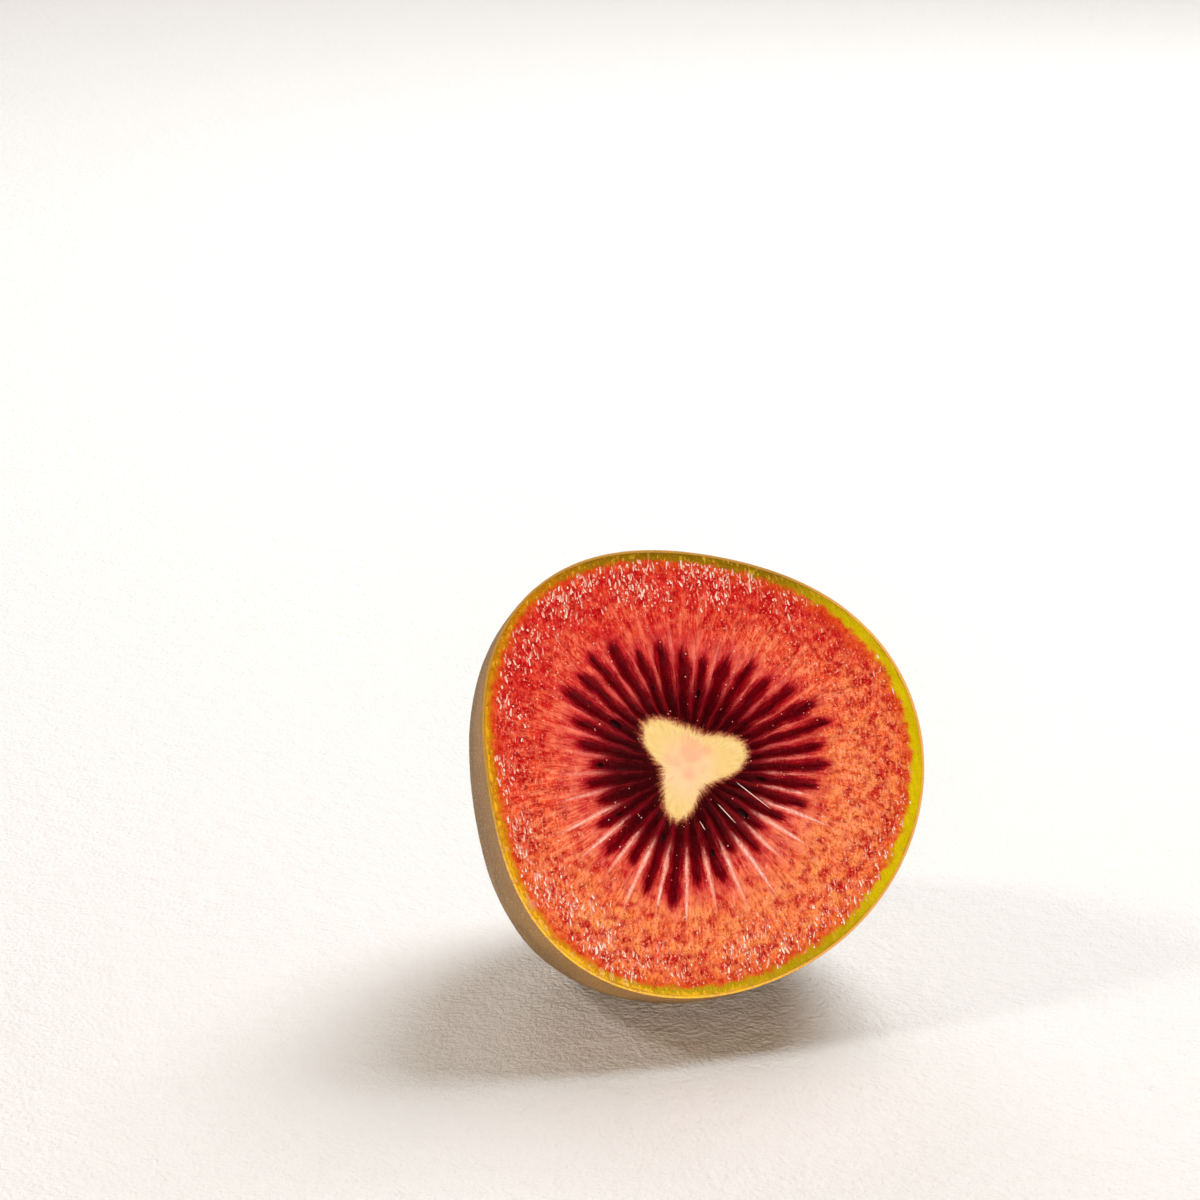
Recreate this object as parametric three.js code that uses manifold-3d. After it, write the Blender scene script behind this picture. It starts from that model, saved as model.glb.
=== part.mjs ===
// Half of a red-fleshed kiwi fruit, cut straight across and set down on its side with the cut face leaning back.
// Millimetres, +Z up. The origin is the middle of the small flat spot that the fruit rests on.
// The fruit grew as one piece, so it is one solid: the skin, the flesh, the seed rays, the core, the seeds,
// the stem scar and the dried sepals are forms of one closed surface.

import * as THREE from "three";
import { mergeVertices } from "three/addons/utils/BufferGeometryUtils.js";
import Module from "manifold-3d";

// Driving dimensions, in millimetres and degrees. Angles on the cut run anticlockwise from the right-hand side.
const fruit = {
  meanRadius: 25.15, // from the core to the edge of the cut
  depth: 33, // from the cut to the stem end
  fullness: 2.6, // of the side's curve: 2 is an ellipse, more is blunter
  leanBack: 30, // of the cut face, from upright
  restDepth: 0.8, // how much of the rounded side the flat spot takes off
  edgeRounding: 0.45, // at the rim of the cut
};

// A swell is a wave of so many lobes round the core, so high, at its highest there.
const outlineSwells = [
  { lobes: 1, height: 1.53, at: 6 },
  { lobes: 2, height: 0.14, at: -45 },
  { lobes: 3, height: 1.07, at: 5 },
  { lobes: 4, height: 0.31, at: 38 },
];

const core = { meanRadius: 4.8, proud: 0.35, dish: 0.14 };
const coreSwells = [
  { lobes: 1, height: 0.76, at: 65 },
  { lobes: 2, height: 0.21, at: 79 },
  { lobes: 3, height: 1.53, at: 14 },
  { lobes: 6, height: 0.23, at: 16 },
];

const rays = {
  count: 34,
  stepsPerRay: 4,
  shift: -5, // of them all, in degrees
  tip: 13.6, // from the middle of the core to where a ray ends, on average
  tipScatter: 1.2,
  sunk: 0.9,
};
const tipSwells = [
  { lobes: 1, height: 1.5, at: 51 },
  { lobes: 3, height: 2.25, at: 8 },
];

// How far the rays crowd round from an even spacing, in degrees.
const crowdSwells = [
  { lobes: 1, height: 6.9, at: -25 },
  { lobes: 2, height: 3.2, at: -59 },
  { lobes: 3, height: 1.4, at: -17 },
];

const seeds = { count: 11, length: 2.3, width: 1.4, thickness: 1.1, proud: 0.35, nearest: 7.9, farthest: 10.2 };

const ribs = { count: 9, height: 0.3, fadeFrom: 14 };

const scar = { radius: 4.7, proud: 1.3, lobes: 5, lobeHeight: 0.3, pitRadius: 2.1, pitDepth: 0.9 };

const sepals = {
  count: 5,
  root: 3.2, // from the scar's middle
  length: 3.6,
  width: 5.6,
  thickness: 0.8,
  sunk: 0.3,
  lean: 12, // the flap's slope from its root, in degrees
  curl: 0.9, // how far its tip curls up
  teeth: 4,
  toothDepth: 0.7,
};

// Stations along the surface, from the middle of the cut over the rim to the stem end.
const coreSteps = [0, 0.55, 0.92];
const raySteps = [0.04, 0.22, 0.45, 0.7, 0.88, 1.0];
const fleshSteps = [0.3, 0.7, 0.94, 1.0];
const sideSteps = [0.02, 0.1, 0.2, 0.31, 0.43, 0.55, 0.67, 0.78, 0.87, 0.94, 0.98];
const scarSteps = [1.0, 0.93, 0.72, 0.46, 0.3, 0];

// Each zone's colour, and the limits that part one zone from the next.
const colours = {
  flesh: 0xe4574a,
  ray: 0x5a0410,
  core: 0xf3d79a,
  band: 0xb9a51c,
  skin: 0x9a7a45,
  scar: 0x8a5a3c,
  seed: 0x14090a,
};
const zones = { skinBelow: 1.2, skinAtRim: 0.2, bandWidth: 1.6, rayFrom: 0.15, scarFrom: 0.4, seedAbove: 0.2 };

const ground = { width: 200, depth: 50 }; // a block under the fruit, to slice the flat spot with
const level = 1e-4; // how close to the ground counts as on it

const radians = THREE.MathUtils.degToRad;
const smooth = THREE.MathUtils.smoothstep;
const mix = THREE.MathUtils.lerp;
const turn = 2 * Math.PI;

// A repeatable draw from 0 to 1 for item k of a set, from the fractional part of a large sine.
const draw = (k, set) => {
  const value = Math.sin(k * 12.9898 + set * 78.233) * 43758.5453;
  return value - Math.floor(value);
};

const swelled = (mean, swells, angle) =>
  swells.reduce((sum, s) => sum + s.height * Math.cos(s.lobes * (angle - radians(s.at))), mean);

const rimRadius = (angle) => swelled(fruit.meanRadius, outlineSwells, angle);
const coreRadius = (angle) => swelled(core.meanRadius, coreSwells, angle);

// The angle of a place given as its share of the way round, counted in rays, which crowd together on one side.
const angleAt = (share) => turn * share + radians(swelled(rays.shift, crowdSwells, turn * share));

const rayTip = (share) => {
  const scatter = rays.tipScatter * (2 * draw(Math.floor(share * rays.count), 1) - 1);
  return swelled(rays.tip, tipSwells, angleAt(share)) + scatter;
};

// 0 on the pale wall between two rays, 1 in the middle of a ray.
const acrossRay = (share) => (1 - Math.cos(turn * share * rays.count)) / 2;

// The middle of the cut's outline, which the side narrows towards.
const middle = { x: 0, y: 0 };
for (const s of outlineSwells.filter((swell) => swell.lobes === 1)) {
  middle.x = s.height * Math.cos(radians(s.at));
  middle.y = s.height * Math.sin(radians(s.at));
}

const polar = (radius, angle, z) => new THREE.Vector3(radius * Math.cos(angle), radius * Math.sin(angle), z);

// The core stands a little proud of the flesh, and is dished in the middle.
function corePoint(t, share) {
  const angle = angleAt(share);
  return polar(coreRadius(angle) * t, angle, core.proud - core.dish * (1 - t) ** 2);
}

// Each ray is a groove that fades out at its tip, and the walls between them stay level with the cut.
function rayPoint(t, share) {
  const angle = angleAt(share);
  const along = smooth(t, -0.1, 0.15) * (1 - smooth(t, 0.75, 1.05));
  return polar(mix(coreRadius(angle), rayTip(share), t), angle, -rays.sunk * along * acrossRay(share) ** 0.8);
}

function fleshPoint(t, share) {
  const angle = angleAt(share);
  return polar(mix(rayTip(share), rimRadius(angle) - fruit.edgeRounding, t), angle, 0);
}

// The side narrows from the cut's outline to a point on the axis, and low ribs gather towards the stem end.
function sidePoint(t, share) {
  const angle = angleAt(share);
  const narrowing = (1 - t ** fruit.fullness) ** (1 / fruit.fullness);
  const rib = ribs.height * smooth(t * fruit.depth, ribs.fadeFrom, fruit.depth) * Math.cos(ribs.count * angle);
  const x = mix(middle.x, rimRadius(angle) * Math.cos(angle), narrowing) + rib * Math.cos(angle);
  const y = mix(middle.y, rimRadius(angle) * Math.sin(angle), narrowing) + rib * Math.sin(angle);
  return new THREE.Vector3(x, y, -t * fruit.depth);
}

// The woody scar: t is 1 at its foot and 0 in the middle of its pit.
function scarPoint(t, share) {
  const angle = angleAt(share);
  const radius = t * (scar.radius + scar.lobeHeight * Math.cos(scar.lobes * angle));
  const lip = scar.proud * (1 - smooth(t, 0.82, 1));
  const pit = scar.pitDepth * (1 - smooth(t * scar.radius, 0.6 * scar.pitRadius, 1.1 * scar.pitRadius));
  return polar(radius, angle, -fruit.depth - lip + pit).add(new THREE.Vector3(middle.x, middle.y, 0));
}

// The closed skin and cut face, as a lathe whose every vertex is then set by its station and share.
function bodyGeometry() {
  const onStation = (steps, point) => steps.map((t) => (share) => point(t, share));
  const stations = [
    ...onStation(coreSteps, corePoint),
    ...onStation(raySteps, rayPoint),
    ...onStation(fleshSteps, fleshPoint),
    ...onStation(sideSteps, sidePoint),
    ...onStation(scarSteps, scarPoint),
  ].reverse();
  const segments = rays.count * rays.stepsPerRay;
  const profile = stations.map((station) => {
    const point = station(0);
    return new THREE.Vector2(Math.hypot(point.x, point.y), point.z);
  });
  const geometry = new THREE.LatheGeometry(profile, segments);
  const position = geometry.getAttribute("position");
  for (let i = 0; i < position.count; i++) {
    const segment = Math.floor(i / stations.length) % segments;
    position.setXYZ(i, ...stations[i % stations.length](segment / segments));
  }
  return geometry;
}

// Each seed lies in a ray of its own, which steps round the core with a little scatter.
const seedSpots = Array.from({ length: seeds.count }, (_, k) => {
  const ray = Math.floor(((k + mix(0.2, 0.8, draw(k, 2))) / seeds.count) * rays.count);
  const angle = angleAt((ray + 0.5) / rays.count);
  return polar(mix(seeds.nearest, seeds.farthest, draw(k, 3)), angle, 0);
});

// A seed: a flattened drop along its ray, most of it in the flesh.
function seedGeometry(spot) {
  return new THREE.SphereGeometry(0.5, 8, 6)
    .rotateX(Math.PI / 2)
    .scale(seeds.length, seeds.width, seeds.thickness)
    .rotateZ(Math.atan2(spot.y, spot.x))
    .translate(spot.x, spot.y, seeds.proud - (seeds.thickness + rays.sunk) / 2);
}

// A dried sepal: a flap with a ragged round edge, rooted under the scar, that leans out and curls up at its tip.
function sepalGeometry(k) {
  const half = sepals.width / 2;
  const outline = new THREE.Shape().moveTo(-0.6 * half, 0).lineTo(0.6 * half, 0);
  for (let i = 0; i <= 2 * sepals.teeth; i++) {
    const round = (Math.PI * i) / (2 * sepals.teeth);
    const notch = (i % 2) * sepals.toothDepth * (0.5 + draw(i, k + 4));
    outline.lineTo(half * Math.cos(round), sepals.length * (0.45 + 0.55 * Math.sin(round)) - notch);
  }
  const flap = new THREE.ExtrudeGeometry(outline, { depth: sepals.thickness, bevelEnabled: false });
  const position = flap.getAttribute("position");
  for (let i = 0; i < position.count; i++) {
    const along = position.getY(i) / sepals.length;
    position.setZ(i, position.getZ(i) - sepals.curl * along ** 2);
  }
  return flap
    .rotateX(radians(sepals.lean))
    .translate(0, sepals.root, -fruit.depth - sepals.sunk)
    .rotateZ(((k + 0.3 * draw(k, 5)) / sepals.count) * turn)
    .translate(middle.x, middle.y, 0);
}

const wasm = await Module();
wasm.setup();

function solidOf(geometry) {
  geometry.deleteAttribute("normal");
  geometry.deleteAttribute("uv");
  const merged = mergeVertices(geometry, level);
  return new wasm.Manifold(
    new wasm.Mesh({
      numProp: 3,
      vertProperties: merged.getAttribute("position").array,
      triVerts: new Uint32Array(merged.index.array),
    }),
  );
}

function geometryOf(solid) {
  const mesh = solid.getMesh();
  const geometry = new THREE.BufferGeometry();
  geometry.setAttribute("position", new THREE.BufferAttribute(mesh.vertProperties, 3));
  geometry.setIndex(new THREE.BufferAttribute(mesh.triVerts, 1));
  return geometry;
}

function wholeSurface() {
  const sepalFlaps = Array.from({ length: sepals.count }, (_, k) => sepalGeometry(k));
  let solid = solidOf(bodyGeometry());
  for (const piece of [...seedSpots.map(seedGeometry), ...sepalFlaps]) {
    solid = solid.add(solidOf(piece));
  }
  return geometryOf(solid);
}

// The zone that a point of the upright fruit is in.
function zoneOf(point) {
  const radius = Math.hypot(point.x, point.y);
  const angle = Math.atan2(point.y, point.x);
  const fromRim = rimRadius(angle) - radius;
  const overSeed = seedSpots.some((spot) => Math.hypot(point.x - spot.x, point.y - spot.y) < seeds.width / 2);
  if (point.z < zones.scarFrom - fruit.depth) return "scar";
  if (point.z < -zones.skinBelow || fromRim < zones.skinAtRim) return "skin";
  if (fromRim < zones.bandWidth) return "band";
  if (radius < coreRadius(angle)) return "core";
  if (overSeed && point.z > -zones.seedAbove) return "seed";
  return point.z < -zones.rayFrom ? "ray" : "flesh";
}

// Colours each vertex by its zone. toFruit leads from the leaning fruit back to the upright one.
function paint(geometry, toFruit) {
  const position = geometry.getAttribute("position");
  const shades = new THREE.BufferAttribute(new Float32Array(position.count * 3), 3);
  for (let i = 0; i < position.count; i++) {
    const point = new THREE.Vector3().fromBufferAttribute(position, i).applyMatrix4(toFruit);
    shades.setXYZ(i, ...new THREE.Color(colours[zoneOf(point)]).toArray());
  }
  geometry.setAttribute("color", shades);
}

const lowestPoint = (geometry) => {
  geometry.computeBoundingBox();
  return geometry.boundingBox.min.z;
};

// The middle of the flat spot, from the vertices that lie on it.
function middleOfFoot(geometry) {
  const foot = new THREE.Box3();
  const position = geometry.getAttribute("position");
  for (let i = 0; i < position.count; i++) {
    const point = new THREE.Vector3().fromBufferAttribute(position, i);
    if (Math.abs(point.z) < level) foot.expandByPoint(point);
  }
  return foot.getCenter(new THREE.Vector3());
}

// Leans the cut face back, slices off the flat spot and puts its middle at the origin.
function setDown(geometry) {
  const lean = new THREE.Matrix4().makeRotationX(radians(90 - fruit.leanBack));
  geometry.applyMatrix4(lean);
  const lift = -lowestPoint(geometry) - fruit.restDepth;
  geometry.translate(0, 0, lift);
  const block = new THREE.BoxGeometry(ground.width, ground.width, ground.depth).translate(0, 0, -ground.depth / 2);
  const standing = geometryOf(solidOf(geometry).subtract(solidOf(block)));
  paint(standing, new THREE.Matrix4().makeTranslation(0, 0, lift).multiply(lean).invert());
  const foot = middleOfFoot(standing);
  return standing.translate(-foot.x, -foot.y, 0);
}

const group = new THREE.Group();
const half = new THREE.Mesh(
  setDown(wholeSurface()),
  new THREE.MeshStandardMaterial({ color: 0xffffff, vertexColors: true, roughness: 0.4, metalness: 0 }),
);
half.name = "kiwi_half";
group.add(half);

export default group;
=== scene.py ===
# Half of a red-fleshed kiwi fruit, dressed for the camera: peel, flesh, seeds, stem scar, sepals and fuzz.
# Shapes are worked out in millimetres in the fruit's own frame, with the cut at z = 0 and the stem end below,
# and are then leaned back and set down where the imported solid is.

import math
from types import SimpleNamespace

import bpy
import numpy as np
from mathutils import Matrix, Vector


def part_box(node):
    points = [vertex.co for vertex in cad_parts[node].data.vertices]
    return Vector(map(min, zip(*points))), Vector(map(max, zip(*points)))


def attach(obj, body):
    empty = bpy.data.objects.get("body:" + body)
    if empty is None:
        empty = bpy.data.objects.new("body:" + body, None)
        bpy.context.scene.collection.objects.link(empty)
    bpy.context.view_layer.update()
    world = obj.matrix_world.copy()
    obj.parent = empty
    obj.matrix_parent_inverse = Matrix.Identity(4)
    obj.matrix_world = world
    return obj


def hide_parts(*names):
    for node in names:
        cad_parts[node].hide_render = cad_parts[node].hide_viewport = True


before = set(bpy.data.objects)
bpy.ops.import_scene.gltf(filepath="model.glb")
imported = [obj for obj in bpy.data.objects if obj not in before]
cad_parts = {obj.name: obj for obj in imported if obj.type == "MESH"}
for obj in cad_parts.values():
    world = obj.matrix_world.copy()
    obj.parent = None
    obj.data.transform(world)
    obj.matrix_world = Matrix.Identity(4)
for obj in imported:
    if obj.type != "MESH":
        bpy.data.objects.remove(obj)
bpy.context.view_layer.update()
print("stage: frame loaded, nodes", sorted(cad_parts))

fruit = {
    "meanRadius": 25.15,  # from the core to the edge of the cut
    "depth": 33.0,  # from the cut to the stem end
    "fullness": 2.6,  # of the side's curve: 2 is an ellipse
    "leanBack": 30.0,  # of the cut face, from upright, in degrees
    "outline": [(1, 1.53, 6), (2, 0.14, -45), (3, 1.07, 5), (4, 0.31, 38)],  # lobes, height, where highest
    "core": 4.9,
    "coreOutline": [(1, 0.87, 63), (2, 0.32, 62), (3, 1.58, 8), (4, 0.17, 20), (6, 0.31, 11)],
    "rays": 34,
    "rayShift": -5.0,
    "rayCrowding": [(1, 6.9, -25), (2, 3.2, -59), (3, 1.4, -17)],  # in degrees
    "rayTip": 13.6,
    "tipOutline": [(1, 1.5, 51), (3, 2.25, 8)],
    "tipScatter": 1.2,
    "ribs": 9,
    "ribHeight": 0.3,
    "ribsFrom": 14.0,
    "ribsGone": 0.2,  # the share of the full width below which the ribs die out
}
turn = 2 * math.pi

# the stem end lies under the middle of the outline, which the first wave moves off the core
swayHeight = fruit["outline"][0][1]
swayAngle = math.radians(fruit["outline"][0][2])
axisX = swayHeight * math.cos(swayAngle)
axisY = swayHeight * math.sin(swayAngle)


def smooth(value, low, high):
    # 0 below low, 1 above high, and an S-curve between them
    share = np.clip((value - low) / (high - low), 0, 1)
    return share * share * (3 - 2 * share)


def draw(k, series):
    # the fractional part of a large sine: a repeatable number from 0 to 1 for item k of a series
    value = np.sin(k * 12.9898 + series * 78.233) * 43758.5453
    return value - np.floor(value)


def swelled(mean, swells, angle):
    # a mean with a few waves round the fruit added to it
    return mean + sum(height * np.cos(lobes * (angle - np.radians(at))) for lobes, height, at in swells)


def angleAt(share):
    # the rays crowd together on one side, so equal shares of the way round aren't equal angles
    even = turn * share
    return even + np.radians(swelled(fruit["rayShift"], fruit["rayCrowding"], even))


def rimRadius(angle):
    # the cut's outline: its mean radius and four waves
    return swelled(fruit["meanRadius"], fruit["outline"], angle)


def coreRadius(angle):
    # the core's outline: a mean radius and waves, of which three lobes are the highest
    return swelled(fruit["core"], fruit["coreOutline"], angle)


def rayTip(ray):
    # how far out a ray reaches: a mean with two waves, and a scatter from ray to ray
    middle = angleAt((ray + 0.5) / fruit["rays"])
    scatter = fruit["tipScatter"] * (2 * draw(ray, 1) - 1)
    return swelled(fruit["rayTip"], fruit["tipOutline"], middle) + scatter


def lumps(places, size, seed):
    # value noise from -1 to 1: random values on a grid of cells, with smooth steps from one to the next
    scaled = places / size
    corner = np.floor(scaled).astype(np.int64)
    part = scaled - corner
    part = part * part * (3 - 2 * part)
    total = np.zeros(places.shape[:-1])
    for x in (0, 1):
        for y in (0, 1):
            for z in (0, 1):
                cell = (corner + (x, y, z)) * (73856093, 19349663, 83492791)
                mixed = cell[..., 0] ^ cell[..., 1] ^ cell[..., 2] ^ seed * 2654435
                mixed = (mixed ^ (mixed >> 13)) * 1274126177 & 0x7FFFFFFF
                value = ((mixed ^ (mixed >> 16)) & 0xFFFF) / 32767.5 - 1
                total += value * np.prod(np.abs(np.array((1 - x, 1 - y, 1 - z)) - part), axis=-1)
    return total


def bumps(places, settings):
    # lumps times a height: the settings are the height, the lumps' size and their seed
    height, size, seed = settings
    return height * lumps(places, size, seed)


def onCircle(radius, angle, z=0.0):
    # points at a radius and an angle round the core, and at a height that may vary with them
    x = radius * np.cos(angle)
    return np.stack([x, radius * np.sin(angle), z + 0 * x], -1)


def wayRound(columns):
    # evenly spaced angles once round, as one row
    return (np.arange(columns) / columns * turn)[None, :]


def sidePoints(t, angle, inset=0.0):
    # the outline shrinks from the cut to the stem end by (1 - t^n)^(1/n), with ribs that gather at the end
    depth = fruit["depth"]
    narrowing = np.maximum(1 - t ** fruit["fullness"], 0) ** (1 / fruit["fullness"])
    ribs = fruit["ribHeight"] * smooth(t * depth, fruit["ribsFrom"], depth) * np.cos(fruit["ribs"] * angle)
    gathered = ribs * smooth(narrowing, 0, fruit["ribsGone"])
    radius = rimRadius(angle) - inset
    x = axisX + (radius * np.cos(angle) - axisX) * narrowing + gathered * np.cos(angle)
    y = axisY + (radius * np.sin(angle) - axisY) * narrowing + gathered * np.sin(angle)
    return np.stack([x, y, -t * (depth - inset) + 0 * angle], -1)


def leaned(points):
    # turns the fruit's own frame about x, so that the cut face looks forward and up
    tip = math.radians(90 - fruit["leanBack"])
    x, y, z = points[..., 0], points[..., 1], points[..., 2]
    return np.stack([x, y * math.cos(tip) - z * math.sin(tip), y * math.sin(tip) + z * math.cos(tip)], -1)


def settle(rings=200, columns=720):
    # where the leaned fruit has to go, so that its left, right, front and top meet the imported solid's
    steps, around = np.meshgrid(np.linspace(0, 1, rings), np.linspace(0, turn, columns), indexing="ij")
    shell = leaned(sidePoints(steps, around)).reshape(-1, 3)
    low, high = (np.array(corner) * 1000 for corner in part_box("kiwi_half"))
    return np.array([
        (low[0] + high[0] - shell[:, 0].min() - shell[:, 0].max()) / 2,
        low[1] - shell[:, 1].min(),
        high[2] - shell[:, 2].max(),
    ])


shift = settle()
print("stage: settled, shift in mm", np.round(shift, 3))


def setDown(points, lowest=0.0):
    # millimetres in the fruit's frame to metres in the row's, flattened where it rests
    placed = leaned(points) + shift
    placed[..., 2] = np.maximum(placed[..., 2], lowest)
    return placed / 1000


def meshPiece(name, points, faces, material, extras=None, smoothShade=True):
    # points in metres, faces as rows of 3 or 4 corners, and per-point extras for the materials
    mesh = bpy.data.meshes.new(name)
    mesh.from_pydata(points.reshape(-1, 3).tolist(), [], [f for part in faces for f in part.tolist()])
    for key, values in (extras or {}).items():
        kind, field = ("FLOAT", "value") if values.ndim == 1 else ("FLOAT_VECTOR", "vector")
        layer = mesh.attributes.new(key, kind, "POINT")
        layer.data.foreach_set(field, np.ascontiguousarray(values, np.float32).ravel())
    mesh.polygons.foreach_set("use_smooth", np.full(len(mesh.polygons), smoothShade))
    mesh.materials.append(material)
    mesh.update()
    piece = bpy.data.objects.new(name, mesh)
    bpy.context.scene.collection.objects.link(piece)
    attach(piece, "root")
    triangles = sum(len(part) * (part.shape[1] - 2) for part in faces)
    print("stage:", name, "has", triangles, "triangles")
    return piece


def ringFaces(rings, columns, first=0):
    # quads between rings that close round, and fans to the two poles, which are the first and last points
    ring = np.arange(rings - 1)[:, None] * columns + first + 1
    column = np.arange(columns)[None, :]
    beside = (column + 1) % columns
    quads = np.stack([ring + column, ring + beside, ring + columns + beside, ring + columns + column], -1)
    column, beside = column[0], beside[0]
    start = np.stack([np.full(columns, first), first + 1 + beside, first + 1 + column], -1)
    end = first + 1 + (rings - 1) * columns
    last = first + 1 + rings * columns
    finish = np.stack([np.full(columns, last), end + column, end + beside], -1)
    return [quads.reshape(-1, 4), start, finish]


def outward(points, faces):
    # turns every face round if together they enclose less than nothing
    flat = points.reshape(-1, 3)
    volume = 0.0
    for part in faces:
        corners = flat[part]
        for k in range(1, part.shape[1] - 1):
            volume += np.einsum("ij,ij->", corners[:, 0], np.cross(corners[:, k], corners[:, k + 1]))
    return faces if volume > 0 else [part[:, ::-1] for part in faces]


# Materials

class Wire:
    # a socket that adds Math nodes to its tree when it is used in an expression
    def __init__(self, finish, socket):
        self.finish = finish
        self.socket = socket

    def __add__(self, other):
        return self.finish.maths("ADD", self, other)

    def __sub__(self, other):
        return self.finish.maths("SUBTRACT", self, other)

    def __rsub__(self, other):
        return self.finish.maths("SUBTRACT", other, self)

    def __mul__(self, other):
        return self.finish.maths("MULTIPLY", self, other)

    def __truediv__(self, other):
        return self.finish.maths("DIVIDE", self, other)

    __radd__ = __add__
    __rmul__ = __mul__

    def between(self, low, high):
        # 0 below low and 1 above high, smoothly
        settings = {"interpolation_type": "SMOOTHSTEP"}
        return self.finish.node("MapRange", settings, {"Value": self, "From Min": low, "From Max": high})


class Finish:
    # a material being made: its nodes, and the shortcuts that add them
    def __init__(self, name):
        self.material = bpy.data.materials.new(name)
        self.material.use_nodes = True
        self.tree = self.material.node_tree
        self.tree.nodes.clear()

    def node(self, kind, settings=None, sockets=None, output=0):
        made = self.tree.nodes.new("ShaderNode" + kind)
        for key, value in (settings or {}).items():
            setattr(made, key, value)
        for key, value in (sockets or {}).items():
            if isinstance(value, Wire):
                self.tree.links.new(value.socket, made.inputs[key])
            else:
                made.inputs[key].default_value = value
        return Wire(self, made.outputs[output]) if len(made.outputs) else None

    def maths(self, operation, *values):
        return self.node("Math", {"operation": operation}, dict(enumerate(values)))

    def attribute(self, name, output="Fac"):
        return self.node("Attribute", {"attribute_name": name}, output=output)

    def part(self, vector, n):
        # one of a vector's or a colour's three numbers
        return self.node("SeparateXYZ", {}, {0: vector}, output=n)

    def stretched(self, vector, factors):
        return self.node("VectorMath", {"operation": "MULTIPLY"}, {0: vector, 1: factors})

    def distance(self, vector, spot):
        return self.node("VectorMath", {"operation": "DISTANCE"}, {0: vector, 1: spot}, output=1)

    def noise(self, vector, scale, detail=2.0, roughness=0.5):
        sockets = {"Vector": vector, "Scale": scale, "Detail": detail, "Roughness": roughness}
        return self.node("TexNoise", {}, sockets)

    def cells(self, vector, scale, output="Distance"):
        return self.node("TexVoronoi", {}, {"Vector": vector, "Scale": scale}, output=output)

    def blend(self, share, under, over):
        return self.node("Mix", {"data_type": "RGBA"}, {0: share, 6: under, 7: over}, output=2)

    def close(self, sockets, height=None, bump=0.0, bumpDistance=0.0001):
        # the shader itself, with a bump from height in metres times bumpDistance
        if height is not None:
            relief = {"Height": height, "Strength": bump, "Distance": bumpDistance}
            sockets = {**sockets, "Normal": self.node("Bump", {}, relief)}
        shader = self.node("BsdfPrincipled", {}, sockets)
        self.node("OutputMaterial", {}, {"Surface": shader})
        return self.material


def tint(red, green, blue):
    # a colour as the screen shows it, 0 to 255, to the linear values that the shader takes
    def linear(value):
        share = value / 255
        return share / 12.92 if share <= 0.04045 else ((share + 0.055) / 1.055) ** 2.4
    return (linear(red), linear(green), linear(blue), 1.0)


fleshLook = {
    "coral": tint(238, 76, 48),
    "salmon": tint(248, 134, 72),
    "crimson": tint(212, 32, 32),
    "clump": tint(190, 5, 22),
    "honey": tint(250, 168, 92),
    "rose": tint(224, 70, 62),
    "kernel": tint(255, 200, 164),
    "speck": tint(150, 4, 18),
    "pale": tint(253, 162, 116),
    "paleRed": tint(240, 98, 80),
    "blush": tint(236, 116, 104),
    "wall": tint(248, 176, 164),
    # near white: a painted highlight along the walls
    "wallHighlight": tint(255, 222, 216),
    "haze": tint(206, 44, 62),
    "halo": tint(166, 6, 28),
    "innerWall": tint(140, 2, 34),
    "pulp": tint(80, 0, 8),
    "pulpEdge": tint(134, 0, 18),
    "pulpDeep": tint(50, 0, 5),
    "coreCream": tint(248, 216, 174),
    "coreYellow": tint(238, 212, 146),
    "corePeach": tint(246, 188, 154),
    "coreTip": tint(254, 236, 184),
    "coreShade": tint(224, 188, 112),
    "coreFringe": tint(206, 116, 84),
    "band": tint(214, 196, 2),
    "bandOlive": tint(150, 118, 10),
    "bandOchre": tint(206, 134, 8),
    "bandShade": tint(120, 84, 4),
    "bandFleck": tint(240, 196, 60),
    # bright yellow for a painted highlight by the rim, low on the left
    "bandLitYellow": tint(246, 190, 36),
    "bandEdge": tint(220, 86, 16),
}
facePaths = {  # what a pattern follows: an attribute, squeezed along x, y and z
    "dragged": ("fruitPlace", (1, 0.42, 1)),  # lumps drawn out upwards, as the knife went
    "streaks": ("polar", (1, 1, 0.0125)),  # long fibres out from the core
    "drawnOut": ("polar", (1, 1, 0.026)),
    "tufts": ("polar", (1, 1, 0.04)),
}
facePatterns = {  # the path that a noise follows, its lumps to each unit, its octaves and its roughness
    "drift": ("place", 0.11, 2, 0.5),
    "patch": ("place", 0.26, 2, 0.5),
    "soft": ("place", 0.4, 1, 0.5),
    "cloud": ("place", 0.42, 3, 0.6),
    "wetness": ("place", 0.6, 2, 0.5),
    "blotch": ("place", 0.8, 1, 0.5),
    "grain": ("place", 4.4, 2, 0.6),
    "drag": ("dragged", 2.6, 3, 0.6),
    "fleck": ("dragged", 3.4, 2, 0.55),
    "strand": ("streaks", 30, 3, 0.62),
    "ragged": ("streaks", 48, 3, 0.64),
    "hairline": ("streaks", 92, 2, 0.5),
    "bristle": ("tufts", 15, 4, 0.66),
}
faceCells = {"kernel": 2.4, "speck": 48}  # to each unit of their paths
faceZones = {  # a distance in millimetres, from where an effect starts to where it is full
    "roseRing": ("radius", 17.0, 12.5),
    "pastTips": ("radius", 17.5, 14.0),
    "openFlesh": ("radius", 12.0, 20.0),
    "fibres": ("radius", 22.0, 16.0),
    "blush": ("radius", 17.5, 13.0),
    "wallStart": ("radius", 7.9, 11.0),
    "ridgeStart": ("radius", 4.5, 7.5),
    "raysMeet": ("radius", 11.6, 7.8),
    "deepPulp": ("radius", 10.8, 6.8),
    "inward": ("rimGap", 2.5, 8.0),
    "rimward": ("rimGap", 8.5, 2.0),
    "coreOuter": ("coreGap", -3.2, -0.2),
}
wallReach = {"mean": 12.5, "scatter": 4.0, "fade": 3.0, "widest": 8.5}  # of the pale walls, in radius
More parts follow.
